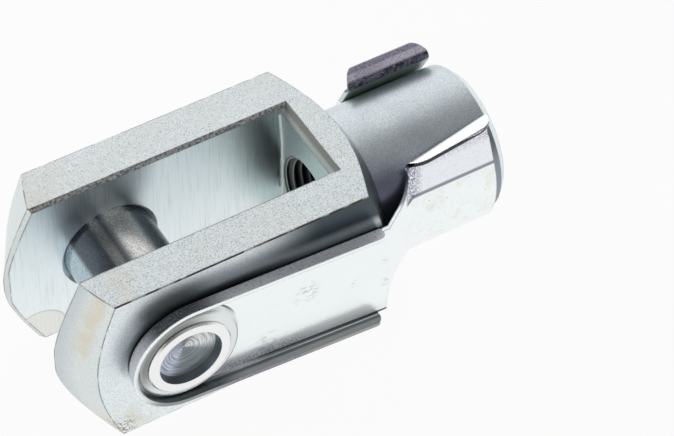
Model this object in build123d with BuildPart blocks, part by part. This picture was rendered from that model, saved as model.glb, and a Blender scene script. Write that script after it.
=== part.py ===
from build123d import *
from math import cos, radians, sin, sqrt, tan
import os

# Clevis rod end: a forked steel head that screws onto a rod, closed by a clevis pin
# with a spring clip riveted to its end.
# Origin: middle of the slot, on the axis of the clevis pin.
# +X runs along the rod towards the threaded neck, Y is the pin axis, +Z is up.
# All sizes in millimetres.

# ---- Driving sizes: fork ----
fork_width = 32.0            # square bar across the flats
slot_width = 16.3            # gap between the ears
slot_depth = 32.0            # pin axis to the end wall of the slot, at top and bottom
slot_end_sag = 0.8           # the disc cutter leaves the end wall hollow by this much
slot_edge_break = 0.6        # broken edges along the slot
nose_edge_break = 0.8        # and down the inside of the nose
slot_end_bevel = 1.5         # bevel where the end wall meets top and bottom
slot_corner_radius = 0.5     # corner between an ear and the end wall
tip_reach = 19.0             # pin axis to the flat nose of the ears
tip_flat_radius = 9.0        # the turned nose cone starts here
turning_angle = 30.0         # nose and shoulder cones, from square to the rod axis
slot_to_shoulder = 2.3       # from the slot's end to where the shoulder leaves the bar's corners
neck_radius = 13.0
neck_end = 64.0              # pin axis to the rod-side face
neck_chamfer = 1.5
thread_radius = 8.0          # M16 x 1.5, bored plain to the nominal size
thread_mouth_chamfer = 0.2

# ---- Driving sizes: clevis pin ----
pin_radius = 8.0
pin_running_gap = 0.05       # radial, pin in the ears
pin_hole_chamfer = 0.7       # at the ears' inner faces
pin_hole_break = 0.3         # at the ears' outer faces
pin_far_overhang = 1.2       # past the far ear
pin_far_chamfer = 1.0
rivet_neck_radius = 7.2      # reduced end that passes through the clip
rivet_head_radius = 7.45
rivet_head_height = 0.45
rivet_head_chamfer = 0.3
cup_radius = 5.6             # turned cup in the riveted end
cup_wall_depth = 1.6
cup_floor_radius = 5.3
cup_depth = 2.7

# ---- Driving sizes: spring clip, one pressed sheet ----
sheet = 0.8
leg_gap = 0.25               # sheet to the ear's outer face
leg_angle = 4.4              # the leg drops towards the neck
leg_nose_radius = 10.2
leg_nose_centre = 0.5        # ahead of the pin axis, along the leg
leg_end_half_width = 10.8    # the leg widens a little towards the neck
rim_height = 3.0             # from the sheet's underside to the free edge
rim_spread_nose = 0.65       # the rim's free edge is wider than its base
rim_spread_end = 0.35
rim_lean = 0.35              # and leans towards the upper side
rim_fold_break = 0.5         # broken corner on the outside of the fold
rim_end_radius = 1.4
rim_end_run = 1.9            # the rims run this far past the shoulder's first corners
leg_overhang = 0.15          # the leg bends in this far before the square's flat side ends
boss_base_radius = 9.55      # collar pressed up around the pin
boss_top_radius = 9.0
boss_height = 2.35           # from the sheet's underside
boss_edge_radius = 1.3
collar_gap = 0.05            # radial, collar's hollow over the pin
rivet_hole_gap = 0.05        # radial, rivet hole over the reduced end
seat_gap = 0.05              # pin shoulder and rivet head to the collar's two faces
web_top = 7.3                # upper edge of the web between leg and sleeve
web_bottom = -13.0           # its lower edge where it leaves the leg
web_rise_radius = 4.2        # its upper edge then curves up into the near arm
web_wrap_angle = 62.0        # how far down the neck the web reaches
sleeve_gap = 0.2             # sleeve to neck
web_run = 7.6                # along the rod, from the leg's bend to the sleeve
sleeve_end_gap = 2.6         # from the sleeve's end to the neck's face
sleeve_skew = 2.0            # both ends of the sleeve are cut this far off square
wrap_angle = 26.0            # the round wrap ends this far above the horizontal
near_arm_at_start = 4.8      # straight arms that lean in over the neck
near_arm_at_end = 7.6
near_lip_at_start = 2.0      # flared lips, the near one wider at the rod side
near_lip_at_end = 3.0
far_arm = 5.6
far_lip = 1.8
lip_angle = 23.0             # above the horizontal
lip_bend_radius = 1.6
lip_reach = 12.2             # both lips are trimmed to this, with round corners
lip_corner_radius = 3.4

# ---- Fork body: square bar, turned nose, shoulder and neck, milled slot ----
half_width = fork_width / 2
corner_radius = half_width * sqrt(2)
cone_slope = tan(radians(turning_angle))
shoulder_start = slot_depth + slot_to_shoulder
flat_side_end = shoulder_start + (corner_radius - half_width) * cone_slope
nose_cone_end = -tip_reach + (corner_radius - tip_flat_radius) * cone_slope
shoulder_end = shoulder_start + (corner_radius - neck_radius) * cone_slope
thread_mouth_radius = thread_radius + thread_mouth_chamfer
pin_hole_radius = pin_radius + pin_running_gap
ear_inner = slot_width / 2

with BuildPart() as fork_body:
    with BuildSketch(Plane.XY):
        with BuildLine():
            Polyline(
                (-tip_reach, 0),
                (-tip_reach, tip_flat_radius),
                (nose_cone_end, corner_radius),
                (shoulder_start, corner_radius),
                (shoulder_end, neck_radius),
                (neck_end - neck_chamfer, neck_radius),
                (neck_end, neck_radius - neck_chamfer),
                (neck_end, 0),
                close=True,
            )
        make_face()
    revolve(axis=Axis.X)
    with BuildSketch(Plane.YZ.offset(-tip_reach)):
        Rectangle(fork_width, fork_width)
    extrude(amount=neck_end + tip_reach, mode=Mode.INTERSECT)

    # Slot, with the hollow end wall left by a disc cutter
    with BuildSketch(Plane.XZ):
        with BuildLine():
            Polyline(
                (slot_depth, half_width),
                (-tip_reach, half_width),
                (-tip_reach, -half_width),
                (slot_depth, -half_width),
            )
            ThreePointArc(
                (slot_depth, -half_width),
                (slot_depth + slot_end_sag, 0),
                (slot_depth, half_width),
            )
        make_face()
    extrude(amount=ear_inner, both=True, mode=Mode.SUBTRACT)
    end_wall_zone = (Axis.X, slot_depth - slot_end_sag, slot_depth + 2 * slot_end_sag)
    end_wall_edges = fork_body.edges().filter_by_position(*end_wall_zone)
    chamfer(end_wall_edges.filter_by(Axis.Y), length=slot_end_bevel)
    end_wall_edges = fork_body.edges().filter_by_position(*end_wall_zone)
    fillet(end_wall_edges.filter_by(GeomType.CIRCLE), radius=slot_corner_radius)
    slot_edges = fork_body.edges().filter_by_position(Axis.Y, -ear_inner, ear_inner)
    chamfer(slot_edges.filter_by(Axis.X), length=slot_edge_break)
    slot_edges = fork_body.edges().filter_by_position(Axis.Y, -ear_inner, ear_inner)
    chamfer(slot_edges.filter_by_position(Axis.X, -tip_reach, nose_cone_end), length=nose_edge_break)

    # Pin holes through both ears
    with BuildSketch(Plane.XZ):
        Circle(pin_hole_radius)
    extrude(amount=half_width, both=True, mode=Mode.SUBTRACT)
    hole_rims = fork_body.edges().filter_by(GeomType.CIRCLE).filter_by(
        lambda rim: abs(rim.radius - pin_hole_radius) < 0.01
    )
    inner_rims = hole_rims.filter_by_position(Axis.Y, -ear_inner - pin_hole_break, ear_inner + pin_hole_break)
    chamfer(inner_rims, length=pin_hole_chamfer)
    chamfer(hole_rims.sort_by(Axis.Y)[0], length=pin_hole_break)
    chamfer(hole_rims.sort_by(Axis.Y)[-1], length=pin_hole_break)

    # Rod bore from the neck's face into the slot
    with BuildSketch(Plane.XY):
        with BuildLine():
            Polyline(
                (slot_depth, 0),
                (slot_depth, thread_mouth_radius + slot_end_sag),
                (slot_depth + slot_end_sag + thread_mouth_chamfer, thread_radius),
                (neck_end - thread_mouth_chamfer, thread_radius),
                (neck_end, thread_mouth_radius),
                (neck_end, 0),
                close=True,
            )
        make_face()
    revolve(axis=Axis.X, mode=Mode.SUBTRACT)

fork_body.part.label = "fork_body"

# ---- Clevis pin: turned, with a reduced end riveted over the clip ----
sheet_inner = -(half_width + leg_gap)
boss_top = sheet_inner - boss_height
pin_shoulder = boss_top + sheet + seat_gap
rivet_head_base = boss_top - seat_gap
rivet_face = rivet_head_base - rivet_head_height
pin_far_end = half_width + pin_far_overhang

with BuildPart() as clevis_pin:
    with BuildSketch(Plane.XY):
        with BuildLine():
            Polyline(
                (0, pin_far_end),
                (pin_radius - pin_far_chamfer, pin_far_end),
                (pin_radius, pin_far_end - pin_far_chamfer),
                (pin_radius, pin_shoulder),
                (rivet_neck_radius, pin_shoulder),
                (rivet_neck_radius, rivet_head_base),
                (rivet_head_radius, rivet_head_base),
                (rivet_head_radius, rivet_face + rivet_head_chamfer),
                (rivet_head_radius - rivet_head_chamfer, rivet_face),
                (cup_radius, rivet_face),
                (cup_floor_radius, rivet_face + cup_wall_depth),
                (0, rivet_face + cup_depth),
                close=True,
            )
        make_face()
    revolve(axis=Axis.Y)

clevis_pin.part.label = "clevis_pin"

# ---- Spring clip: a leg with a turned-up rim, a web bent in, and a sleeve that snaps on the neck ----
leg_slope = radians(leg_angle)
leg_plane = Plane(
    origin=(0, sheet_inner, 0),
    x_dir=(cos(leg_slope), 0, -sin(leg_slope)),
    z_dir=(0, -1, 0),
)
rim_end = shoulder_start + rim_end_run
floor_end = flat_side_end - leg_overhang
sleeve_start = floor_end + web_run
sleeve_end = neck_end - sleeve_end_gap
leg_length = floor_end + 2 * leg_end_half_width * tan(leg_slope)
sheet_outer = sheet_inner - sheet
rim_reach = leg_end_half_width + rim_spread_nose + rim_lean
sleeve_inner_radius = neck_radius + sleeve_gap
wrap_end_height = sleeve_inner_radius * sin(radians(wrap_angle))
web_blank_top = wrap_end_height + near_arm_at_start


def leg_outline(rise, inset):
    """Round-nosed outline of the leg at a height above the sheet's underside."""
    share = rise / rim_height
    nose_radius = leg_nose_radius + share * rim_spread_nose - inset
    end_half_width = leg_end_half_width + share * rim_spread_end - inset
    middle = share * rim_lean
    with BuildSketch(leg_plane.offset(rise)) as outline:
        with BuildLine() as ends:
            CenterArc((leg_nose_centre, middle), nose_radius, 0, 360)
            Line((leg_length, middle - end_half_width), (leg_length, middle + end_half_width))
        make_hull(ends.edges())
    return outline.sketch


def sleeve_plane(position):
    """Section plane across the sleeve, a little off square to the neck."""
    skew = radians(sleeve_skew)
    return Plane(origin=(position, 0, 0), x_dir=(sin(skew), cos(skew), 0), z_dir=(cos(skew), -sin(skew), 0))


def wrap_end(radius):
    """Where the near side of the round wrap ends, in a section plane."""
    return (-radius * cos(radians(wrap_angle)), radius * sin(radians(wrap_angle)))


def sleeve_half(side, arm_length, lip_length):
    """Inner line of the sleeve, from the bottom of the neck up to one lip's free edge."""
    wrap = CenterArc((0, 0), sleeve_inner_radius, -90, side * (90 + wrap_angle))
    arm = PolarLine(wrap @ 1, arm_length, 90 + side * wrap_angle)
    bend = JernArc(arm @ 1, arm % 1, lip_bend_radius, -side * (90 + wrap_angle - lip_angle))
    PolarLine(bend @ 1, lip_length, direction=bend % 1)


def sleeve_section(position, near_arm, near_lip):
    """C-shaped section of the sleeve, open at the top, with both lips flared outwards."""
    with BuildSketch(sleeve_plane(position)) as section:
        with BuildLine():
            sleeve_half(-1, near_arm, near_lip)
            sleeve_half(1, far_arm, far_lip)
            offset(amount=sheet, side=Side.LEFT)
        make_face()
    return section.sketch


def flat_strip(position, bottom, top):
    """Stretch of the sheet where it leaves the leg, between two heights."""
    with BuildSketch(Plane.YZ.offset(position)) as section:
        with BuildLine():
            Polyline(
                (sheet_inner, bottom),
                (sheet_inner, top),
                (sheet_outer, top),
                (sheet_outer, bottom),
                close=True,
            )
        make_face()
    return section.sketch


def wrap_strip(position):
    """Stretch of the sheet where it meets the round wrap."""
    turn = web_wrap_angle + wrap_angle
    with BuildSketch(sleeve_plane(position)) as section:
        with BuildLine():
            inside = CenterArc((0, 0), sleeve_inner_radius, 180 + web_wrap_angle, -turn)
            outside = CenterArc((0, 0), sleeve_inner_radius + sheet, 180 + web_wrap_angle, -turn)
            Line(inside @ 0, outside @ 0)
            Line(inside @ 1, outside @ 1)
        make_face()
    return section.sketch


def arm_strip(position):
    """Stretch of the sheet where it meets the near arm."""
    with BuildSketch(sleeve_plane(position)) as section:
        with BuildLine():
            inside = PolarLine(wrap_end(sleeve_inner_radius), near_arm_at_start, 90 - wrap_angle)
            outside = PolarLine(wrap_end(sleeve_inner_radius + sheet), near_arm_at_start, 90 - wrap_angle)
            Line(inside @ 0, outside @ 0)
            Line(inside @ 1, outside @ 1)
        make_face()
    return section.sketch


with BuildPart() as spring_clip:
    # Leg with the rim turned up around it
    loft([leg_outline(0, rim_fold_break), leg_outline(rim_fold_break, 0)])
    loft([leg_outline(rim_fold_break, 0), leg_outline(rim_height, 0)])
    loft([leg_outline(sheet, sheet), leg_outline(rim_height, sheet)], mode=Mode.SUBTRACT)
    with BuildSketch(Plane.YZ.offset(rim_end)):
        Rectangle(2 * fork_width, 2 * fork_width)
    extrude(amount=leg_length, mode=Mode.SUBTRACT)
    rim_end_corners = spring_clip.faces().sort_by(Axis.X)[-1].edges().sort_by(Axis.Y)[:2]
    fillet(rim_end_corners, radius=rim_end_radius)

    # Web that steps in from the leg to the neck
    extrude(flat_strip(rim_end, web_bottom, web_blank_top), amount=floor_end - rim_end, dir=(1, 0, 0))
    loft([flat_strip(floor_end, web_bottom, wrap_end_height), wrap_strip(sleeve_start)])
    loft([flat_strip(floor_end, wrap_end_height, web_blank_top), arm_strip(sleeve_start)])
    with BuildSketch(Plane.XZ.offset(sleeve_inner_radius / 2)):
        with BuildLine():
            level = Line((rim_end, web_top), (sleeve_start - web_rise_radius, web_top))
            rise = TangentArc(level @ 1, (sleeve_start, web_blank_top), tangent=level % 1)
            Polyline(rise @ 1, (sleeve_start, 2 * web_blank_top), (rim_end, 2 * web_blank_top), level @ 0)
        make_face()
    extrude(amount=half_width, mode=Mode.SUBTRACT)

    # Sleeve around the neck
    loft(
        [
            sleeve_section(sleeve_start, near_arm_at_start, near_lip_at_start),
            sleeve_section(sleeve_end, near_arm_at_end, near_lip_at_end),
        ]
    )
    with BuildSketch(Plane.XY.offset(web_blank_top)):
        with Locations(Location(((sleeve_start + sleeve_end) / 2, 0), -sleeve_skew)):
            Rectangle(2 * neck_radius, 2 * fork_width)
            RectangleRounded(
                sleeve_end - sleeve_start, 2 * lip_reach, radius=lip_corner_radius, mode=Mode.SUBTRACT
            )
    extrude(amount=neck_radius, mode=Mode.SUBTRACT)

    # Collar pressed up around the pin, hollow underneath, with the rivet hole
    with BuildSketch(Plane.XY):
        with BuildLine():
            Polyline(
                (0, sheet_inner),
                (boss_base_radius, sheet_inner),
                (boss_base_radius, sheet_outer),
                (boss_top_radius, boss_top),
                (0, boss_top),
                close=True,
            )
        make_face()
    revolve(axis=Axis.Y)
    boss_edge = spring_clip.edges().filter_by(GeomType.CIRCLE).filter_by_position(
        Axis.Y, boss_top - seat_gap, boss_top + seat_gap
    )
    fillet(boss_edge, radius=boss_edge_radius)
    with BuildSketch(Plane.XZ.offset(-sheet_inner)):
        Circle(pin_radius + collar_gap)
    extrude(amount=boss_height - sheet, mode=Mode.SUBTRACT)
    with BuildSketch(Plane.XZ.offset(-sheet_inner)):
        Circle(rivet_neck_radius + rivet_hole_gap)
    extrude(amount=2 * boss_height, mode=Mode.SUBTRACT)

spring_clip.part.label = "spring_clip"

os.makedirs("parts", exist_ok=True)
export_step(fork_body.part, "parts/fork_body.step")
export_step(clevis_pin.part, "parts/clevis_pin.step")
export_step(spring_clip.part, "parts/spring_clip.step")
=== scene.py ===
from math import cos, pi, radians, sin

import bmesh
import bpy
from mathutils import Matrix, Vector


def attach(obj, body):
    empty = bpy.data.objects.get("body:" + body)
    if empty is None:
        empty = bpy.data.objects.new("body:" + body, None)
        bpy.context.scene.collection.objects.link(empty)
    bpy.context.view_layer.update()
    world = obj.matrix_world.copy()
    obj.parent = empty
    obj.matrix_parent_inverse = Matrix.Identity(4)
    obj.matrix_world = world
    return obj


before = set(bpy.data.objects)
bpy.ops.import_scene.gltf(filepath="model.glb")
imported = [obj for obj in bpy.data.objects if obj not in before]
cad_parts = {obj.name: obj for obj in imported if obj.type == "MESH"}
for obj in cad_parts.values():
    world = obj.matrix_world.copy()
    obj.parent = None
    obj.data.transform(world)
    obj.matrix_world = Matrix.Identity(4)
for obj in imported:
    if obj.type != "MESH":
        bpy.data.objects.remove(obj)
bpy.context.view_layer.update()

# ---- Fork body ----
# One length of square steel bar, with turned nose and shoulder cones, a turned neck
# and a slot milled between the ears, zinc plated to a fine satin grain.
mm = 0.001
half_width = 16.0
slot_half_width = 8.15
slot_end = 32.0
nose_cone_start = -4.0
shoulder_start = 33.0
shoulder_end = 41.5
neck_start = 39.0
neck_radius = 13.0
bore_radius = 8.0


class Shade:
    """A value or colour in a material: arithmetic on it adds the nodes that work it out."""

    def __init__(self, tree, socket=None):
        self.tree = tree
        self.socket = socket

    def node(self, kind, settings, sockets, output=0):
        made = self.tree.nodes.new("ShaderNode" + kind)
        for name, value in settings.items():
            setattr(made, name, value)
        for name, value in sockets.items():
            if isinstance(value, Shade):
                self.tree.links.new(value.socket, made.inputs[name])
            else:
                made.inputs[name].default_value = value
        return Shade(self.tree, made.outputs[output] if len(made.outputs) else None)

    def maths(self, operation, first, second=0.0):
        return self.node("Math", {"operation": operation}, {0: first, 1: second})

    def __add__(self, other):
        return self.maths("ADD", self, other)

    __radd__ = __add__

    def __sub__(self, other):
        return self.maths("SUBTRACT", self, other)

    def __rsub__(self, other):
        return self.maths("SUBTRACT", other, self)

    def __mul__(self, other):
        return self.maths("MULTIPLY", self, other)

    __rmul__ = __mul__

    def __truediv__(self, other):
        return self.maths("DIVIDE", self, other)

    def __neg__(self):
        return self.maths("MULTIPLY", self, -1.0)

    def __abs__(self):
        return self.maths("ABSOLUTE", self)

    def root(self):
        return self.maths("SQRT", self)

    def at_most(self, limit):
        return self.maths("MINIMUM", self, limit)

    def at_least(self, limit):
        return self.maths("MAXIMUM", self, limit)

    def split(self):
        """The three parts of a vector."""
        return [self.node("SeparateXYZ", {}, {0: self}, output=axis) for axis in "XYZ"]

    def step(self, low, high):
        """0 below low, 1 above high, eased in between; the other way round if low is above high."""
        return self.node(
            "MapRange",
            {"interpolation_type": "SMOOTHSTEP"},
            {"Value": self, "From Min": low, "From Max": high},
        )

    def near(self, centre, reach, soft):
        """1 within reach of a value, fading to 0 over soft."""
        return abs(self - centre).step(reach + soft, reach)

    def towards(self, target, mask):
        """This value, moved to the target where the mask says."""
        return self + (target - self) * mask

    def over(self, mask, colour, share=1.0):
        """This colour, covered by a share of another one where the mask says."""
        factor, lower_colour, upper_colour, mixed_colour = 0, 6, 7, 2
        cover = mask if share == 1.0 else mask * share
        return self.node(
            "Mix",
            {"data_type": "RGBA"},
            {factor: cover, lower_colour: self, upper_colour: colour},
            output=mixed_colour,
        )


def length(*parts):
    """The length of a vector, from its parts."""
    total = parts[0] * parts[0]
    for part in parts[1:]:
        total = total + part * part
    return total.root()


def linear(value):
    share = value / 255
    return share / 12.92 if share <= 0.04045 else ((share + 0.055) / 1.055) ** 2.4


def tone(red, green, blue):
    """A colour from its display values, 0 to 255."""
    return (linear(red), linear(green), linear(blue), 1.0)


evenly = (1, 1, 1)


class Metal:
    """A steel finish: where its surface lies, and the grain, stains and gloss on it."""

    def __init__(self, name):
        self.material = bpy.data.materials.new(name)
        self.material.use_nodes = True
        tree = self.material.node_tree
        tree.nodes.clear()
        # A Shade with no socket of its own, which only starts chains of nodes
        self.start = Shade(tree)
        at = self.start.node("TexCoord", {}, {}, output="Object")
        self.place = self.start.node("VectorMath", {"operation": "SCALE"}, {0: at, "Scale": 1 / mm})
        self.x, self.y, self.z = self.place.split()
        facing = self.start.node("TexCoord", {}, {}, output="Normal")
        self.facing_x, self.facing_y, self.facing_z = facing.split()

    def plain(self, colour):
        made = self.start.node("RGB", {}, {})
        made.socket.default_value = colour
        return made

    def grain(self, across, size, detail=2.0, roughness=0.5, at=None):
        """Noise from 0 to 1 whose cells are size millimetres, stretched along each axis."""
        stretched = self.start.node(
            "VectorMath", {"operation": "MULTIPLY"}, {0: at or self.place, 1: across}
        )
        return self.start.node(
            "TexNoise",
            {},
            {"Vector": stretched, "Scale": 1 / size, "Detail": detail, "Roughness": roughness},
        )

    def rounded(self, radius):
        """The surface's direction with its sharp edges rounded off, in millimetres."""
        return self.start.node("Bevel", {"samples": 6}, {"Radius": radius * mm})

    def sharp_edge(self, width):
        """1 along sharp edges, over this many millimetres."""
        true_facing = self.start.node("NewGeometry", {}, {}, output="Normal")
        facings = {0: self.rounded(width), 1: true_facing}
        likeness = self.start.node("VectorMath", {"operation": "DOT_PRODUCT"}, facings, output="Value")
        return likeness.step(0.995, 0.93)

    def relief(self, height, depth, under):
        """Bump from a height in units of depth millimetres."""
        sockets = {"Height": height, "Distance": depth * mm, "Strength": 1.0, "Normal": under}
        return self.start.node("Bump", {}, sockets)

    def finish(self, colour, roughness, metallic, normal):
        shader = self.start.node(
            "BsdfPrincipled",
            {},
            {
                "Base Color": colour,
                "Roughness": roughness,
                "Metallic": metallic,
                "Normal": normal,
            },
        )
        self.start.node("OutputMaterial", {}, {"Surface": shader})
        return self.material


def square(facing):
    """1 where a face lies square to an axis."""
    return abs(facing).step(0.90, 0.98)


def sloped(first, second):
    """1 where a face slopes halfway between two axes, as an edge break does."""
    return (first * second).step(0.36, 0.46)


steel = Metal("zinc_plated_satin_steel")
x, y, z = steel.x, steel.y, steel.z
facing_x, facing_y, facing_z = steel.facing_x, steel.facing_y, steel.facing_z
from_axis = length(y, z)
flat_top = square(facing_z) * abs(z).step(half_width - 0.5, half_width - 0.2)
outer_side = square(facing_y) * abs(y).step(half_width - 0.5, half_width - 0.1)
near_side = outer_side * y.step(0.0, -1.0)
slot_wall = square(facing_y) * abs(y).step(slot_half_width + 0.85, slot_half_width + 0.45)
far_wall = slot_wall * y.step(0.0, 1.0)
end_wall = facing_x.step(-0.6, -0.85) * x.step(slot_end - 1.5, slot_end - 0.5)
slot_rim = abs(y).near(slot_half_width + 0.30, 0.34, 0.05) * z.step(half_width - 1.0, half_width - 0.7)
slot_break = sloped(abs(facing_y), abs(facing_z)) * slot_rim
end_bevel = sloped(-facing_x, abs(facing_z)) * x.step(slot_end - 0.1, slot_end + 0.1)
nose_break = sloped(-facing_x, abs(facing_y)) * abs(y).near(slot_half_width + 0.40, 0.44, 0.05)
slot_corner = (-facing_x * abs(facing_y)).step(0.08, 0.20) * x.step(slot_end - 2.0, slot_end - 1.4)
slot_corner = slot_corner * abs(y).step(slot_half_width + 0.15, slot_half_width + 0.05)
nose_cone = facing_x.step(-0.3, -0.45) * x.step(nose_cone_start, nose_cone_start - 3.0)
shoulder_cone = facing_x.step(0.25, 0.45) * x.step(shoulder_start, shoulder_start + 1.0)
shoulder_cone = shoulder_cone * x.step(shoulder_end, shoulder_end - 1.0)
turned_neck = from_axis.near(neck_radius, 0.05, 0.15) * x.step(neck_start, neck_start + 1.0)
bore = from_axis.step(bore_radius + 0.35, bore_radius + 0.10) * x.step(slot_end - 1.0, slot_end + 0.5)

# Plating grain: fine all over, coarse and flecked on the rolled flats of the bar
zinc = tone(245, 252, 254)
fleck_grey = tone(132, 146, 158)
fleck_white = tone(255, 255, 250)
fleck_black = tone(64, 66, 74)
cream = tone(220, 210, 184)
satin_grey = tone(140, 154, 164)
milled_grey = tone(130, 152, 160)
fine = steel.grain(evenly, 0.30, detail=3.0, roughness=0.7)
dark_flecks = steel.grain(evenly, 0.22, detail=3.0, roughness=0.8)
light_flecks = steel.grain(evenly, 0.18, detail=1.0)
black_flecks = steel.grain(evenly, 0.22, detail=1.0).step(0.70, 0.76)
clouds = steel.grain(evenly, 6.0, detail=3.0)
milled = steel.grain((5.0, 1, 0.10), 1.0, detail=4.0, roughness=0.65)
rings = steel.grain((3.0, 0.25, 0.25), 1.0, detail=3.0, roughness=0.6)
cloudy_tip = (0.3 + 0.7 * x.step(-2.0, -12.0)) * clouds.step(0.40, 0.62)
flecked = dark_flecks.step(0.42, 0.66) * (0.56 + 0.14 * y.step(6.0, -10.0))
elsewhere = (1 - flat_top) * (1 - slot_wall)

colour = steel.plain(zinc)
colour = colour.over(flat_top * flecked, fleck_grey)
colour = colour.over(flat_top * light_flecks.step(0.54, 0.68), fleck_white, share=0.75)
colour = colour.over(flat_top * cloudy_tip, cream, share=0.30)
colour = colour.over(flat_top * black_flecks, fleck_black, share=0.55)
colour = colour.over(elsewhere * dark_flecks.step(0.44, 0.64), satin_grey, share=0.40)
colour = colour.over(slot_wall * milled.step(0.50, 0.74), milled_grey, share=0.34)

# The slot: painted shade on its far wall behind the pin and in the corner, a painted highlight on the
# corner fillets, its end wall pale green
pin_shade_place = -1.5
pin_shade_height = 8.0
pin_shade_lean = 0.25
corner_shade_start = 21.5
slate = tone(62, 80, 90)
green_slate = tone(56, 74, 78)
bright = tone(255, 255, 255)
end_green = tone(180, 200, 198)
end_fleck = tone(120, 136, 134)
end_pale = tone(196, 222, 214)
from_shade = abs(x - pin_shade_place - pin_shade_lean * (z - pin_shade_height))
pin_shadow_mask = from_shade.step(10.5, 4.0) * z.step(5.0, 11.0)
corner_shadow_mask = x.step(corner_shade_start, slot_end - 2.0) * z.step(-4.0, 6.0)
shaded_far_wall = far_wall * (0.72 + milled * 0.5)
near_low_end = (y * -1.0 - z * 0.5).step(-8.0, 3.0)
# Painted shade: the far wall darker behind the pin and in the corner of the slot
colour = colour.over(shaded_far_wall * pin_shadow_mask, slate, share=0.62)
colour = colour.over(shaded_far_wall * corner_shadow_mask, green_slate, share=0.58)
# Painted highlight: the corner fillets at the end of the slot drawn white
colour = colour.over(slot_corner, bright)
colour = colour.over(end_wall, end_green, share=0.8)
colour = colour.over(end_wall * dark_flecks.step(0.42, 0.62), end_fleck, share=0.30)
colour = colour.over(end_wall * near_low_end, end_pale, share=0.5)

# The turned shoulder and neck, with painted shade on the shoulder and on the neck's near side, and a
# darker violet patch beside the shoulder
violet_patch_end = 50.0
mouth_rim_start = 60.8
shoulder_shade_grey = tone(84, 98, 104)
neck_grey = tone(178, 190, 200)
neck_fleck = tone(132, 142, 156)
neck_cloud = tone(168, 174, 188)
neck_shade_grey = tone(118, 130, 146)
neck_violet = tone(100, 98, 128)
neck_rim = tone(110, 116, 128)
violet_patch = x.step(violet_patch_end, violet_patch_end - 8.0) * y.step(-5.0, -9.5)
beside_mouth = x.step(mouth_rim_start, mouth_rim_start + 0.8) * y.step(-5.0, -10.0)
# Painted shade: the shoulder cone darker towards the near side
colour = colour.over(shoulder_cone * y.step(2.0, -8.0), shoulder_shade_grey, share=0.86)
colour = colour.over(turned_neck, neck_grey, share=0.22)
colour = colour.over(turned_neck * fine.step(0.40, 0.62), neck_fleck, share=0.25)
colour = colour.over(turned_neck * clouds.step(0.40, 0.65), neck_cloud, share=0.20)
# Painted shade: the neck greyer on the near side
colour = colour.over(turned_neck * y.step(0.0, -9.0), neck_shade_grey, share=0.26)
colour = colour.over(turned_neck * violet_patch, neck_violet, share=0.74)
colour = colour.over(turned_neck * beside_mouth, neck_rim, share=0.60)

# Painted shadow and reflection of the clip's rim on the near side around the clip, darkest against its
# rim
leg_slope = radians(4.4)
leg_nose_centre = 0.5
leg_nose_radius = 10.2
leg_taper = 0.016
clip_shade_grey = tone(92, 106, 112)
clip_shade_blue = tone(30, 50, 60)
clip_shade_black = tone(20, 26, 30)


def leg_outline(x, z):
    """Along and above the clip's leg, from its middle line, and out from its outline."""
    along = x * cos(leg_slope) - z * sin(leg_slope) - leg_nose_centre
    above = x * sin(leg_slope) + z * cos(leg_slope)
    from_middle = length(along.at_most(0.0), above)
    outside = from_middle - leg_nose_radius - leg_taper * along.at_least(0.0)
    return along, above, from_middle, outside


along, above, from_middle, outside = leg_outline(x, z)
upper_side = (above / from_middle).step(-0.35, 0.45)
towards_neck = x.step(10.0, 26.0)
shaded_by_clip = near_side * upper_side
against_rim = outside.step(2.1, -0.5) * (1 - towards_neck * 0.75)
# Painted shade: the ear's side darkening towards the clip's rim
colour = colour.over(shaded_by_clip * outside.step(6.6, -0.8), clip_shade_grey, share=0.45)
colour = colour.over(shaded_by_clip * towards_neck * outside.step(0.6, 3.2), clip_shade_blue, share=0.94)
colour = colour.over(shaded_by_clip * against_rim, clip_shade_black, share=0.78)

# Warm stains on the tips and brown dirt in the broken edges
stain_middle = -12.6
stain_lean = 0.05
low_corner_x = -11.5
low_corner_z = -14.5
crescent_x = -14.2
crescent_z = -14.4
crescent_radius = 5.4
nose_grey = tone(206, 210, 206)
nose_inner_grey = tone(170, 178, 184)
beige = tone(214, 200, 168)
straw = tone(214, 206, 170)
corner_brown = tone(104, 94, 66)
crescent_cream = tone(222, 214, 190)
crescent_rim_grey = tone(150, 146, 124)
slot_break_brown = tone(96, 90, 80)
bevel_brown = tone(140, 134, 124)
bevel_pink = tone(196, 180, 164)
nose_break_grey = tone(190, 192, 176)
near_edge_brown = tone(66, 56, 42)
worn_brown = tone(70, 62, 48)
bore_shade_grey = tone(74, 82, 84)
stain = steel.grain(evenly, 3.0, detail=3.0)
dirt = steel.grain(evenly, 0.45, detail=3.0)
broken = steel.grain(evenly, 2.2, detail=4.0).step(0.36, 0.50)
nose_inner = nose_cone * y.step(-13.2, -9.0) * y.step(0.0, -1.0)
stained = nose_cone * abs(y - stain_middle + stain_lean * z).step(2.4, 0.6) * z.step(0.0, 6.0)
from_low_corner = length(x - low_corner_x, y + half_width, z - low_corner_z)
from_crescent = length(x - crescent_x, z - crescent_z)
near_edge = flat_top * y.step(-15.62, -15.80) + near_side * z.step(15.80, 15.92)
worn = steel.sharp_edge(0.36) * (broken * 0.6 + x.step(-9.0, -13.0) * 0.4)
colour = colour.over(nose_cone, nose_grey, share=0.45)
colour = colour.over(nose_inner, nose_inner_grey, share=0.40)
colour = colour.over(stained * stain.step(0.25, 0.70), beige, share=0.5)
colour = colour.over(from_low_corner.step(4.6, 0.5) * dirt.step(0.46, 0.60), corner_brown, share=0.8)
colour = colour.over(from_low_corner.step(9.0, 1.0) * stain.step(0.35, 0.6), straw, share=0.4)
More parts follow.
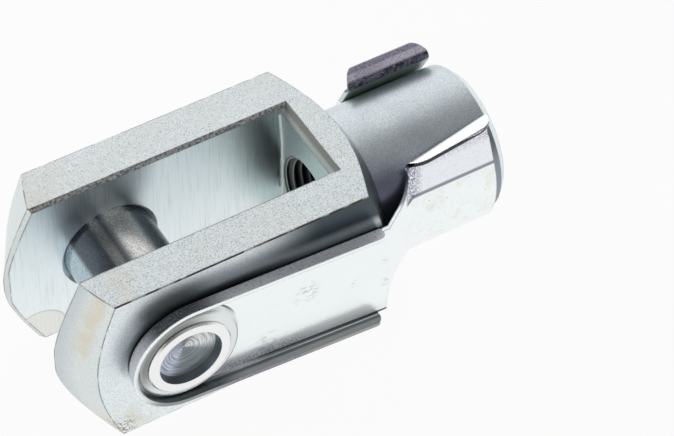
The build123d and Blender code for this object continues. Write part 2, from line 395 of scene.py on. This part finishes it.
# A paler crescent with a darker outline on the far wall near the nose
inside_crescent = from_crescent.step(crescent_radius + 0.2, crescent_radius - 0.2)
crescent_outline = from_crescent.near(crescent_radius, 0.05, 0.22)
colour = colour.over(far_wall * inside_crescent, crescent_cream, share=0.35)
colour = colour.over(far_wall * crescent_outline, crescent_rim_grey, share=0.35)
colour = colour.over(slot_break * (0.35 + 0.5 * dirt.step(0.40, 0.62)), slot_break_brown)
colour = colour.over(end_bevel * x.step(slot_end + 0.5, slot_end + 1.0), bevel_brown, share=0.75)
colour = colour.over(end_bevel * x.step(slot_end + 0.7, slot_end + 0.3), bevel_pink, share=0.3)
colour = colour.over(nose_break, nose_break_grey, share=0.10)
colour = colour.over(near_edge * (0.50 + broken * 0.45), near_edge_brown)
colour = colour.over(worn * (1 - bore) * (1 - turned_neck), worn_brown)
# Painted shade: the inside of the bore dark grey
colour = colour.over(bore, bore_shade_grey)

relief = fine * 0.6 + dark_flecks * flat_top + (slot_wall * milled + turned_neck * rings * 0.3) * 0.8
surface = steel.relief(relief, 0.012, steel.rounded(0.15))
fork_finish = steel.finish(
    colour,
    0.33 + fine * 0.10 + flat_top * 0.08 - near_side * 0.06,
    0.96 - slot_break * 0.4 - nose_break * 0.15 - slot_corner * 0.6,
    surface,
)


def dress(node, material):
    """Gives a CAD solid its finish."""
    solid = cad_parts[node]
    solid.data.materials.clear()
    solid.data.materials.append(material)


dress("fork_body", fork_finish)

# ---- Thread in the neck ----
# The M16 x 1.5 thread cut in the neck's bore: one helical ridge from the end wall of
# the slot to the face of the neck, fading out at both ends, with a countersunk mouth.
pitch = 1.5
root_radius = 8.06
crest_radius = 7.19
thread_from = 32.95
thread_to = 63.55
thread_start = 3.87
steps_a_turn = 72
turns_to_full = 0.125
turns_to_nothing = 1.0
half_foot = 0.44 * pitch
half_crest = 0.07 * pitch
profile = (
    (-half_foot, root_radius),
    (-half_crest, crest_radius),
    (half_crest, crest_radius),
    (half_foot, root_radius),
)
mouth_start = 33.0
mouth_depth = 0.12
mouth_radius = crest_radius + 0.55
thread_shade_grey = tone(84, 90, 90)
swarf_grey = tone(70, 78, 80)
mouth_grey = tone(160, 170, 164)
crest_highlight_grey = tone(165, 168, 160)

thread = bmesh.new()


def thread_point(ahead, radius, angle):
    place = Vector((ahead, radius * cos(angle), radius * sin(angle)))
    return thread.verts.new(place * mm)


last_step = int((thread_to - thread_from - pitch) / pitch * steps_a_turn)
rows = []
for step in range(last_step + 1):
    turned_by = step / steps_a_turn
    turns_left = (last_step - step) / steps_a_turn
    cut = min(1.0, turned_by / turns_to_full, turns_left / turns_to_nothing)
    angle = thread_start + 2 * pi * turned_by
    middle = thread_from + pitch / 2 + pitch * turned_by
    row = []
    for offset, radius in profile:
        height = root_radius - (root_radius - radius) * cut
        row.append(thread_point(middle + offset, height, angle))
    rows.append(row)
for behind, ahead in zip(rows, rows[1:]):
    for k in range(len(profile) - 1):
        thread.faces.new((behind[k], behind[k + 1], ahead[k + 1], ahead[k]))
    thread.faces.new((behind[-1], behind[0], ahead[0], ahead[-1]))

# The countersunk mouth, a narrow slope from the end wall into the bore
mouth = []
for ahead, radius in ((mouth_start, root_radius), (mouth_start + mouth_depth, mouth_radius)):
    angles = [2 * pi * step / steps_a_turn for step in range(steps_a_turn)]
    mouth.append([thread_point(ahead, radius, angle) for angle in angles])
outer_ring, inner_ring = mouth
for k in range(steps_a_turn):
    thread.faces.new((outer_ring[k], outer_ring[k - 1], inner_ring[k - 1], inner_ring[k]))
bmesh.ops.recalc_face_normals(thread, faces=thread.faces)
thread_mesh = bpy.data.meshes.new("neck_thread")
thread.to_mesh(thread_mesh)
thread.free()
neck_thread = bpy.data.objects.new("neck_thread", thread_mesh)
bpy.context.scene.collection.objects.link(neck_thread)

cut_steel = Metal("cut_thread_steel")
swarf = cut_steel.grain((2.0, 1, 1), 0.4, detail=2.0)
crests = length(cut_steel.y, cut_steel.z).step(7.45, 7.25)
beside_wall = cut_steel.x.step(mouth_start + 0.20, mouth_start + 0.14)
# Dark grey as painted shade in the bore, lighter at the countersunk mouth, with a painted highlight
# along the crests
colour = cut_steel.plain(thread_shade_grey)
colour = colour.over(swarf.step(0.4, 0.7), swarf_grey, share=0.5)
colour = colour.over(beside_wall, mouth_grey)
colour = colour.over(crests, crest_highlight_grey, share=0.6)
surface = cut_steel.relief(swarf, 0.01, cut_steel.rounded(0.08))
cut_finish = cut_steel.finish(colour, 0.44 + swarf * 0.1, 0.9, surface)
thread_mesh.materials.append(cut_finish)
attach(neck_thread, "fork")

# ---- Clevis pin ----
# A turned steel pin, dark and smooth along its shank. Its near end is reduced, riveted
# over the clip's collar and dished with a turning tool.
cup_radius = 5.6
cup_floor_radius = 5.3
cup_start = -16.0
rivet_start = -17.9
shank_grey = tone(134, 140, 147)
shank_mark = tone(96, 100, 108)
shank_shade = tone(88, 96, 104)
shank_reflection = tone(214, 230, 238)
pit_grey = tone(70, 74, 84)
highlight_white = tone(252, 250, 246)
rivet_white = tone(250, 251, 250)
dish_grey = tone(150, 158, 162)
dish_highlight = tone(252, 254, 255)
dish_reflection_blue = tone(220, 226, 246)
dish_ring = tone(84, 92, 100)
dish_wall_grey = tone(128, 138, 142)

pin_steel = Metal("turned_pin_steel")
x, y, z = pin_steel.x, pin_steel.y, pin_steel.z
radius = length(x, z)
rivet_head = y.step(rivet_start, rivet_start - 0.3)
dish = y.step(cup_start, cup_start - 0.3) * radius.step(cup_radius + 0.04, cup_radius - 0.04)
ring = rivet_head * radius.step(cup_radius - 0.04, cup_radius + 0.04)
dish_wall = dish * radius.step(cup_floor_radius - 0.06, cup_floor_radius + 0.02)
smooth = pin_steel.grain(evenly, 0.30, detail=3.0, roughness=0.7)
pits = pin_steel.grain(evenly, 0.26, detail=2.0)
around = pin_steel.start.node("CombineXYZ", {}, {"X": radius * 4.6, "Y": x * 0.2, "Z": z * 0.2})
turning = pin_steel.grain(evenly, 1.0, detail=3.0, roughness=0.65, at=around)
shank_marks = pin_steel.grain((0.25, 4.0, 0.25), 1.0, detail=3.0)

# The shank, with two painted highlight bands along it, a painted pale reflection at its front, painted
# shade on its side towards the nose, and fine pits
shank_highlight = x.near(1.0, 1.3, 1.7) + x.near(-3.0, 0.3, 0.8) * 0.5
shank_highlight = shank_highlight * (0.55 + 0.6 * pits.step(0.44, 0.60)) * y.step(-6.0, -1.0) * y.step(14.0, 9.0)
colour = pin_steel.plain(shank_grey)
colour = colour.over(shank_marks.step(0.45, 0.75), shank_mark, share=0.25)
# Painted shade, and a painted pale reflection at the front
colour = colour.over(x.step(-2.6, -4.2), shank_shade, share=0.65)
colour = colour.over(x.step(-6.7, -7.3) * y.step(14.0, 12.0), shank_reflection, share=0.8)
colour = colour.over(pits.step(0.50, 0.68), pit_grey, share=0.50)
# Painted highlight: the two bands along the shank
colour = colour.over(shank_highlight.at_most(1.0), highlight_white, share=0.9)

# The dished end: painted highlights in two fans, one each way along the rod, as turned faces show them
fan = x / radius
height = z / radius
colour = colour.over(ring, rivet_white)
colour = colour.over(dish, dish_grey)
# Painted highlight and painted reflection in the two fans
colour = colour.over(dish * fan.step(0.0, 0.75) * height.step(-0.50, 0.10), dish_highlight)
colour = colour.over(dish * fan.step(0.30, -0.50) * height.step(-1.05, -0.70), dish_reflection_blue)
colour = colour.over(dish * turning.step(0.46, 0.62), dish_ring, share=0.60)
colour = colour.over(dish_wall, dish_wall_grey)
relief = smooth * 0.4 + dish * turning * 1.2
surface = pin_steel.relief(relief, 0.02, pin_steel.rounded(0.2))
pin_finish = pin_steel.finish(colour, 0.22 + smooth * 0.12 + dish * 0.12, 0.94 - dish * 0.15, surface)
dress("clevis_pin", pin_finish)

# ---- Spring clip ----
# One pressed sheet of spring steel, bright plated: a leg with a turned-up rim and a
# collar for the pin, a web that steps in, and a sleeve that snaps around the neck.
leg_end = 38.0
rim_middle = -0.25
rim_inner = -1.2
leg_face = -17.05
rim_root_level = -17.65
rim_pale_level = -18.25
free_edge_level = -19.0
sleeve_start = 40.0

sheet = Metal("bright_plated_spring_sheet")
x, y, z = sheet.x, sheet.y, sheet.z
along, above, from_middle, outside = leg_outline(x, z)
leg_part = x.step(leg_end + 0.4, leg_end)
upright = leg_part * abs(sheet.facing_y).step(0.6, 0.35) * outside.step(rim_inner - 0.4, rim_inner)
outer_wall = upright * outside.step(rim_middle - 0.20, rim_middle)
inner_wall = upright * outside.step(rim_middle, rim_middle - 0.20)
free_edge = leg_part * abs(sheet.facing_y).step(0.6, 0.8)
free_edge = free_edge * y.step(free_edge_level + 0.1, free_edge_level - 0.1)
in_fold = outside.near(-0.95, 0.12, 0.20) * y.near(leg_face - 0.05, 0.20, 0.20)
fold = leg_part * in_fold * above.step(-3.0, -6.0)
floor_near_fold = leg_part * abs(sheet.facing_y).step(0.8, 0.95) * above.step(-6.2, -9.2)

# Bright plating, faintly scuffed and scratched, with yellow blots on the sleeve
plated = tone(249, 254, 255)
scuff_grey = tone(190, 198, 206)
scratch_grey = tone(120, 126, 134)
handled_grey = tone(112, 122, 132)
blot_yellow = tone(222, 220, 180)
speck_grey = tone(150, 150, 150)
scuffs = sheet.grain((0.6, 1, 1.6), 1.6, detail=4.0, roughness=0.7)
scratches = sheet.grain((1.2, 1, 3.5), 1.1, detail=3.0, roughness=0.6)
speckle = sheet.grain(evenly, 0.30, detail=2.0)
coarse = sheet.grain(evenly, 0.9, detail=2.0)
soft_waves = sheet.grain((0.5, 1, 1), 5.0)
blots = sheet.grain((1, 1, 0.7), 2.4, detail=4.0, roughness=0.65)
specks = sheet.grain(evenly, 0.5, detail=1.0)
on_sleeve = x.step(sleeve_start, sleeve_start + 7.0) * z.step(6.5, 5.0)


def scuff(ahead, height, reach):
    """1 around a place on the leg's face, fading out at this reach."""
    beside_ear = y.step(1.0 - half_width, -half_width)
    return beside_ear * length(x - ahead, z - height).step(reach, 0.3 * reach)


scuffed = scuff(22.5, 0.5, 3.2) + scuff(31.6, -2.8, 1.3) + scuff(37.6, -5.6, 1.6)
scuffed = scuffed + scuff(15.0, -8.0, 4.0) + scuff(37.3, -0.3, 1.0)
colour = sheet.plain(plated)
colour = colour.over(scuffs.step(0.60, 0.74), scuff_grey, share=0.12)
colour = colour.over(scratches.step(0.66, 0.72) * coarse.step(0.50, 0.62), scratch_grey, share=0.35)
colour = colour.over(on_sleeve * blots.step(0.50, 0.68), blot_yellow, share=0.30)
colour = colour.over(on_sleeve * specks.step(0.70, 0.76), speck_grey, share=0.5)
colour = colour.over(scuffed * scratches.step(0.50, 0.60), handled_grey, share=0.32)

# The turned-up rim, speckled grey outside, with painted shade in the fold, dark around the nose
wall_grey = tone(210, 218, 214)
rim_white = tone(246, 248, 255)
rim_black = tone(34, 40, 44)
rim_end_white = tone(240, 242, 246)
speckle_pale = tone(214, 216, 226)
speckle_dark = tone(62, 66, 78)
low_rim_grey = tone(92, 100, 114)
low_rim_pale = tone(192, 194, 190)
low_rim_dark = tone(48, 60, 64)
edge_grey = tone(150, 156, 154)
lilac_grey = tone(120, 120, 150)
fold_shade_black = tone(8, 8, 16)
upper_rim = outer_wall * above.step(-4.0, 0.0)
low_rim = inner_wall * above.step(-3.0, -6.0)
behind_nose = along.step(7.0, 0.0) * along.step(-10.0, -6.0)
lilac = floor_near_fold * along.step(27.0, 18.0) * along.step(4.0, 9.0)
colour = colour.over(outer_wall, wall_grey)
colour = colour.over(upper_rim, rim_white)
colour = colour.over(upper_rim * behind_nose, rim_black, share=0.9)
colour = colour.over(upper_rim * along.step(34.0, 36.0), rim_end_white)
colour = colour.over(outer_wall * speckle.step(0.52, 0.66), speckle_pale, share=0.35)
colour = colour.over(outer_wall * speckle.step(0.46, 0.34), speckle_dark, share=0.45)
above_root = y.step(rim_root_level + 0.10, rim_root_level - 0.10)
near_free_edge = y.step(rim_pale_level + 0.15, rim_pale_level - 0.15)
colour = colour.over(low_rim * above_root, low_rim_grey, share=0.85)
colour = colour.over(low_rim * near_free_edge, low_rim_pale)
colour = colour.over(low_rim * along.step(12.0, 3.0), low_rim_dark, share=0.9)
colour = colour.over(free_edge * above.step(-5.0, -9.0), edge_grey, share=0.85)
colour = colour.over(lilac * speckle.step(0.36, 0.62), lilac_grey, share=0.75)
# Painted shade: the fold drawn black
colour = colour.over(fold * along.step(9.0, 16.0), fold_shade_black, share=0.9)

# The collar, with olive tarnish in the groove round the riveted pin and on its upper side, and a
# painted shadow at its foot on the upper right
collar_radius = 10.0
collar_foot_radius = 9.75
groove_radius = 9.3
groove_olive = tone(96, 100, 90)
groove_grey = tone(150, 156, 160)
collar_foot_shadow = tone(20, 22, 26)
from_pin = length(x, z)
on_collar = from_pin.step(collar_radius + 0.3, collar_radius - 0.3)
collar = leg_part * on_collar * y.step(leg_face - 0.15, leg_face - 0.45)
above_left = ((z - x) / from_pin).step(0.1, 1.2)
above_right = ((z + 0.6 * x) / from_pin).step(0.85, 1.1)
collar_foot = leg_part * from_pin.near(collar_foot_radius, 0.08, 0.22)
collar_foot = collar_foot * y.step(leg_face + 0.15, leg_face - 0.05)
inside_groove = from_pin.step(groove_radius + 0.3, groove_radius - 1.1)
along_groove = from_pin.near(groove_radius, 0.3, 0.5)
colour = colour.over(collar * above_left * inside_groove, groove_olive, share=0.80)
colour = colour.over(collar * above_left * along_groove, groove_grey, share=0.35)
# Painted shadow at the collar's foot
colour = colour.over(collar_foot * above_right, collar_foot_shadow)

# The two straight arms and their lips, flecked, with painted reflections, shade and highlights
arm_start = 43.0
arm_foot = 5.9
lip_start = 20.3
lip_reflection_line = 21.4
lip_highlight_line = 23.4
arm_white = tone(226, 214, 246)
arm_reflection_violet = tone(98, 92, 130)
arm_fleck = tone(120, 116, 140)
arm_shade_line = tone(96, 96, 112)
lip_shadow_black = tone(14, 14, 20)
far_arm_reflection_green = tone(214, 230, 220)
lip_lilac = tone(180, 176, 198)
lip_reflection_dark = tone(40, 38, 58)
lip_highlight = tone(246, 238, 255)
lip_fleck_dark = tone(44, 42, 62)
lip_fleck_pale = tone(224, 220, 240)
arms = x.step(arm_start, arm_start + 1.0) * z.step(arm_foot, arm_foot + 0.3)
near_arm = arms * y.step(0, -1)
far_arm = arms * y.step(0, 1)
turned_out = sheet.facing_z.step(0.55, 0.75)
near_flat = near_arm * (1 - turned_out)
near_start = (x - 0.35 * (z - 6.0)).step(47.2, 44.8)
near_top = z.step(9.6, 12.4)
reflected_tint = near_flat * near_start.at_least(near_top)
under_lip_shade = near_arm * z.step(11.0, 11.5) * sheet.facing_z.step(0.30, 0.14)
flare = y + z
lip = far_arm * flare.step(lip_start, lip_start + 0.2)
reflection_band = flare.near(lip_reflection_line, 0.7, 0.5) * (0.60 + coarse.step(0.4, 0.6) * 0.35)
highlight_ends = 0.45 + x.step(50.0, 56.0) * 0.45 + x.near(46.6, 0.5, 1.2) * 0.4
highlight_band = flare.near(lip_highlight_line, 0.5, 0.5) * highlight_ends
colour = colour.over(near_flat, arm_white, share=0.16)
# Painted reflection: a speckled violet patch on the near arm
colour = colour.over(reflected_tint * speckle.step(0.36, 0.56), arm_reflection_violet, share=0.70)
colour = colour.over(near_flat * speckle.step(0.58, 0.68), arm_fleck, share=0.12)
# Painted shade: a dark line along the near arm's foot
colour = colour.over(near_flat * z.near(arm_foot + 0.45, 0.12, 0.30), arm_shade_line, share=0.75)
# Painted shadow under the near lip's overhang
colour = colour.over(under_lip_shade, lip_shadow_black, share=0.92)
# Painted reflection: the far arm pale green
colour = colour.over(far_arm, far_arm_reflection_green)
colour = colour.over(lip, lip_lilac)
# Painted reflection: a dark band across the far lip, and a painted highlight along it
colour = colour.over(lip * reflection_band, lip_reflection_dark)
colour = colour.over(lip * highlight_band, lip_highlight)
colour = colour.over(lip * speckle.step(0.52, 0.64), lip_fleck_dark, share=0.40)
colour = colour.over(lip * speckle.step(0.46, 0.36), lip_fleck_pale, share=0.30)

relief = scuffs * 0.3 + soft_waves + speckle * (outer_wall + lip) * 0.4
surface = sheet.relief(relief, 0.02, sheet.rounded(0.4))
gloss = 0.17 + scuffs * 0.12 + outer_wall * 0.15 + lip * 0.1 + floor_near_fold * 0.30
metallic = 0.95 - outer_wall * 0.70 - far_arm * 0.50 - inner_wall * 0.10 - fold * 0.5 - collar * 0.3
clip_finish = sheet.finish(colour, gloss, metallic, surface)
dress("spring_clip", clip_finish)

# ---- Studio ----
# A pale floor that the fork lies on, a bright sweep behind and beside it, a darker
# ceiling that the polished parts mirror, and two large soft lamps.
studio = bpy.data.worlds.new("studio")
bpy.context.scene.world = studio
studio.use_nodes = True
studio.node_tree.nodes.clear()
dim_level = 0.08
east_extra = 0.20
sweep_level = 1.0
corner_level = 0.40
front_panel_extra = 0.50
top_panel_extra = 0.12
horizon_level = 0.95
air = Shade(studio.node_tree)
east, north, up = air.node("TexCoord", {}, {}, output="Generated").split()
bright_sweep = north.step(-0.05, 0.50) * east.step(-0.05, 0.22)
grey_corner = north.step(0.30, 0.70) * east.step(0.10, -0.10)
front_panel = up.step(0.62, 0.80) * north.step(-0.36, -0.58)
top_panel = up.step(0.78, 0.90) * north.step(0.10, -0.10) * north.step(-0.60, -0.40)
horizon = up.step(0.26, 0.04)
level = dim_level + east_extra * east.step(-0.30, 0.35)
level = level.towards(sweep_level, bright_sweep)
level = level.towards(corner_level, grey_corner)
level = level + front_panel_extra * front_panel + top_panel_extra * top_panel
level = level.towards(horizon_level, horizon)
seen = air.node("LightPath", {}, {}, output="Is Camera Ray")
sky = air.node("Background", {}, {"Color": (1, 1, 1, 1), "Strength": seen + (1 - seen) * level})
air.node("OutputWorld", {}, {"Surface": sky})

floor_size = 6.0
floor_middle = 0.02
floor_gap = 0.0001
glow_seen = 0.94
glow_mirrored = 0.93
floor_level = -half_width * mm
paper_white = (0.86, 0.86, 0.86, 1)
fibre_grey = (0.80, 0.80, 0.80, 1)
bpy.ops.mesh.primitive_plane_add(size=floor_size, location=(floor_middle, 0, floor_level - floor_gap))
floor = bpy.context.object
floor.name = "floor"
pale = bpy.data.materials.new("pale_floor")
pale.use_nodes = True
pale.node_tree.nodes.clear()
ground = Shade(pale.node_tree)
fibres = ground.node("TexNoise", {}, {"Scale": 900.0, "Detail": 2.0})
paper = ground.node("RGB", {}, {})
paper.socket.default_value = paper_white
lit = ground.node("BsdfDiffuse", {}, {"Color": paper.over(fibres, fibre_grey, share=0.04)})
white = ground.node("Emission", {}, {"Color": (1, 1, 1, 1), "Strength": 1.0})
seen = ground.node("LightPath", {}, {}, output="Is Camera Ray")
mirrored = ground.node("LightPath", {}, {}, output="Is Glossy Ray")
glow = seen * glow_seen + mirrored * glow_mirrored
mix = ground.node("MixShader", {}, {0: glow, 1: lit, 2: white})
ground.node("OutputMaterial", {}, {"Surface": mix})
floor.data.materials.append(pale)


def softbox(name, place, width, height, power):
    """A rectangular lamp aimed at the middle of the fork."""
    fork_middle = Vector((0.022, 0, 0))
    lamp = bpy.data.lights.new(name, "AREA")
    lamp.shape = "RECTANGLE"
    lamp.size = width
    lamp.size_y = height
    lamp.energy = power
    holder = bpy.data.objects.new(name, lamp)
    bpy.context.scene.collection.objects.link(holder)
    holder.location = place
    holder.rotation_euler = (fork_middle - Vector(place)).to_track_quat("-Z", "Y").to_euler()


softbox("back_light", (-0.15, 0.70, 0.25), width=0.6, height=0.3, power=2.0)
softbox("side_light", (-0.60, -0.15, 0.30), width=0.4, height=0.4, power=1.0)

# The camera stands high on the clip's side and looks along the rod and down.
camera_place = Vector((-0.126888, -0.264991, 0.351139))
across = Vector((0.85784, -0.51367, 0.01596))
down = Vector((-0.37836, -0.65229, -0.65678))
forward = Vector((0.34778, 0.55737, -0.75391))
view = bpy.data.cameras.new("camera")
view.sensor_width = 36.0
view.lens = 150.602
view.clip_start = 0.01
view.clip_end = 20.0
camera = bpy.data.objects.new("camera", view)
bpy.context.scene.collection.objects.link(camera)
turned = Matrix((across, -down, -forward)).transposed().to_4x4()
camera.matrix_world = Matrix.Translation(camera_place) @ turned
bpy.context.scene.camera = camera
bpy.context.scene.view_settings.view_transform = "Standard"
